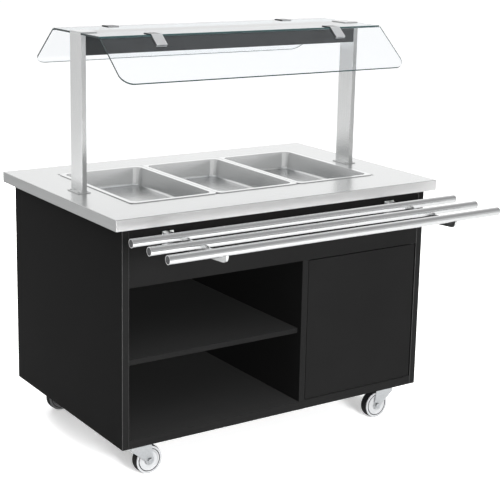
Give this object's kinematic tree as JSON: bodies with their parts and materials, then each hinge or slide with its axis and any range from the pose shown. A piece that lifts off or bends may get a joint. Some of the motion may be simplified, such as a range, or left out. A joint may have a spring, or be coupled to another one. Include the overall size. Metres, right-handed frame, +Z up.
{
  "type": "heated_buffet_trolley",
  "caption": "Heated self-service buffet trolley: black cabinet on swivel casters, stainless top with food pans in a hot-water well, glass canopy with lamp beam, tubular tray slide.",
  "frame": {"origin": "on the floor, in the middle of the whole trolley's footprint", "axes": "+Z up, -Y towards the guests (tray slide), +X to the guests' right"},
  "size_m": [1.27, 1.16, 1.406],
  "materials": {
    "black_laminate": "matt black laminated board",
    "core_board": "bare particle board",
    "brushed_stainless": "satin brushed stainless",
    "pan_steel": "drawn stainless, fine satin",
    "polished_steel": "polished stainless",
    "heater_sheath": "dull heat-tinted sheath",
    "valve_brass": "machined brass",
    "red_lever": "red dipped steel lever",
    "zinc_steel": "bright zinc plate",
    "black_steel": "black coated steel",
    "wheel_grey": "light grey moulded",
    "black_rubber": "matt black rubber",
    "beam_grey": "dark grey powder coat",
    "opal_diffuser": "opal",
    "lamp_glass": "frosted lamp",
    "clear_glass": "clear toughened, green edge",
    "plug_grey": "dark grey moulded",
    "black_plastic": "satin black",
    "amber_lens": "clear amber"
  },
  "bodies": {
    "trolley": {"back_panel": "black_laminate", "base_panel": "black_laminate", "bay_ceiling": "black_laminate", "cable_gland": "black_plastic", "caster_plates": "zinc_steel", "control_plate": "brushed_stainless", "door_pivots": "black_steel", "drain_pipe": "brushed_stainless", "drain_valve": "valve_brass", "electric_box": "zinc_steel", "front_fascia": "black_laminate", "front_glass": "clear_glass", "glass_cap_plates": "brushed_stainless", "glass_clips": "polished_steel", "heating_element": "heater_sheath", "lamp_beam": "beam_grey", "lamp_diffuser": "opal_diffuser", "lamps": "lamp_glass", "pan_rest_bars": "brushed_stainless", "partition_panel": "black_laminate", "pilot_lamp": "amber_lens", "post_foot_plates": "brushed_stainless", "post_left": "brushed_stainless", "post_right": "brushed_stainless", "rear_fascia": "black_laminate", "rear_glass": "clear_glass", "side_panel_left": "black_laminate", "side_panel_right": "black_laminate", "storage_shelf": "black_laminate", "switch_housings": "black_plastic", "top_glass": "clear_glass", "tray_bracket_left": "brushed_stainless", "tray_bracket_right": "brushed_stainless", "tray_tubes": "brushed_stainless", "tube_end_plugs": "plug_grey", "water_well": "brushed_stainless", "worktop": "brushed_stainless", "worktop_core": "core_board"},
    "cupboard_door": {"cupboard_door": "black_laminate"},
    "thermostat_knob": {"thermostat_knob": "black_plastic"},
    "heat_switch": {"heat_switch": "black_plastic"},
    "light_switch": {"light_switch": "black_plastic"},
    "drain_lever": {"drain_lever": "red_lever"},
    "food_pan_left": {"food_pan_left": "pan_steel"},
    "food_pan_middle": {"food_pan_middle": "pan_steel"},
    "food_pan_right": {"food_pan_right": "pan_steel"},
    "caster_fl": {"caster_fork_fl": "zinc_steel"},
    "caster_fl_wheel": {"caster_wheel_fl": "wheel_grey", "caster_tyre_fl": "black_rubber"},
    "caster_fr": {"caster_fork_fr": "zinc_steel"},
    "caster_fr_wheel": {"caster_wheel_fr": "wheel_grey", "caster_tyre_fr": "black_rubber"},
    "caster_rl": {"caster_fork_rl": "zinc_steel"},
    "caster_rl_wheel": {"caster_wheel_rl": "wheel_grey", "caster_tyre_rl": "black_rubber"},
    "caster_rl_brake": {"caster_brake_rl": "zinc_steel"},
    "caster_rr": {"caster_fork_rr": "zinc_steel"},
    "caster_rr_wheel": {"caster_wheel_rr": "wheel_grey", "caster_tyre_rr": "black_rubber"},
    "caster_rr_brake": {"caster_brake_rr": "zinc_steel"}
  },
  "joints": [
    {"name": "door_hinge", "type": "hinge", "parent": "trolley", "child": "cupboard_door", "pos_m": [0.561, -0.222, 0.405], "axis": [0, 0, 1], "range_deg": [0, 105]},
    {"name": "thermostat_turn", "type": "hinge", "parent": "trolley", "child": "thermostat_knob", "pos_m": [0.212, 0.5565, 0.7505], "axis": [0, -1, 0], "range_deg": [0, 270]},
    {"name": "heat_switch_rock", "type": "hinge", "parent": "trolley", "child": "heat_switch", "pos_m": [0.326, 0.5555, 0.7505], "axis": [1, 0, 0], "range_deg": [0, 16]},
    {"name": "light_switch_rock", "type": "hinge", "parent": "trolley", "child": "light_switch", "pos_m": [0.388, 0.5555, 0.7505], "axis": [1, 0, 0], "range_deg": [0, 16]},
    {"name": "drain_lever_turn", "type": "hinge", "parent": "trolley", "child": "drain_lever", "pos_m": [0.3285, 0.133, 0.606], "axis": [0, 1, 0], "range_deg": [0, 90]},
    {"name": "food_pan_left_lift", "type": "slide", "parent": "trolley", "child": "food_pan_left", "axis": [0, 0, 1], "range_m": [0, 0.15]},
    {"name": "food_pan_middle_lift", "type": "slide", "parent": "trolley", "child": "food_pan_middle", "axis": [0, 0, 1], "range_m": [0, 0.15]},
    {"name": "food_pan_right_lift", "type": "slide", "parent": "trolley", "child": "food_pan_right", "axis": [0, 0, 1], "range_m": [0, 0.15]},
    {"name": "caster_fl_swivel", "type": "hinge", "parent": "trolley", "child": "caster_fl", "pos_m": [-0.505, -0.164, 0.11], "axis": [0, 0, 1], "continuous": true},
    {"name": "caster_fl_roll", "type": "hinge", "parent": "caster_fl", "child": "caster_fl_wheel", "pos_m": [-0.473, -0.164, 0.048], "axis": [0, 1, 0], "continuous": true},
    {"name": "caster_fr_swivel", "type": "hinge", "parent": "trolley", "child": "caster_fr", "pos_m": [0.505, -0.164, 0.11], "axis": [0, 0, 1], "continuous": true},
    {"name": "caster_fr_roll", "type": "hinge", "parent": "caster_fr", "child": "caster_fr_wheel", "pos_m": [0.473, -0.164, 0.048], "axis": [0, 1, 0], "continuous": true},
    {"name": "caster_rl_swivel", "type": "hinge", "parent": "trolley", "child": "caster_rl", "pos_m": [-0.505, 0.484, 0.11], "axis": [0, 0, 1], "continuous": true},
    {"name": "caster_rl_roll", "type": "hinge", "parent": "caster_rl", "child": "caster_rl_wheel", "pos_m": [-0.473, 0.484, 0.048], "axis": [0, 1, 0], "continuous": true},
    {"name": "caster_rl_brake_press", "type": "hinge", "parent": "caster_rl", "child": "caster_rl_brake", "pos_m": [-0.43199, 0.484, 0.08901], "axis": [0, 1, 0], "range_deg": [0, 15]},
    {"name": "caster_rr_swivel", "type": "hinge", "parent": "trolley", "child": "caster_rr", "pos_m": [0.505, 0.484, 0.11], "axis": [0, 0, 1], "continuous": true},
    {"name": "caster_rr_roll", "type": "hinge", "parent": "caster_rr", "child": "caster_rr_wheel", "pos_m": [0.473, 0.484, 0.048], "axis": [0, 1, 0], "continuous": true},
    {"name": "caster_rr_brake_press", "type": "hinge", "parent": "caster_rr", "child": "caster_rr_brake", "pos_m": [0.43199, 0.484, 0.08901], "axis": [0, -1, 0], "range_deg": [0, 15]}
  ]
}
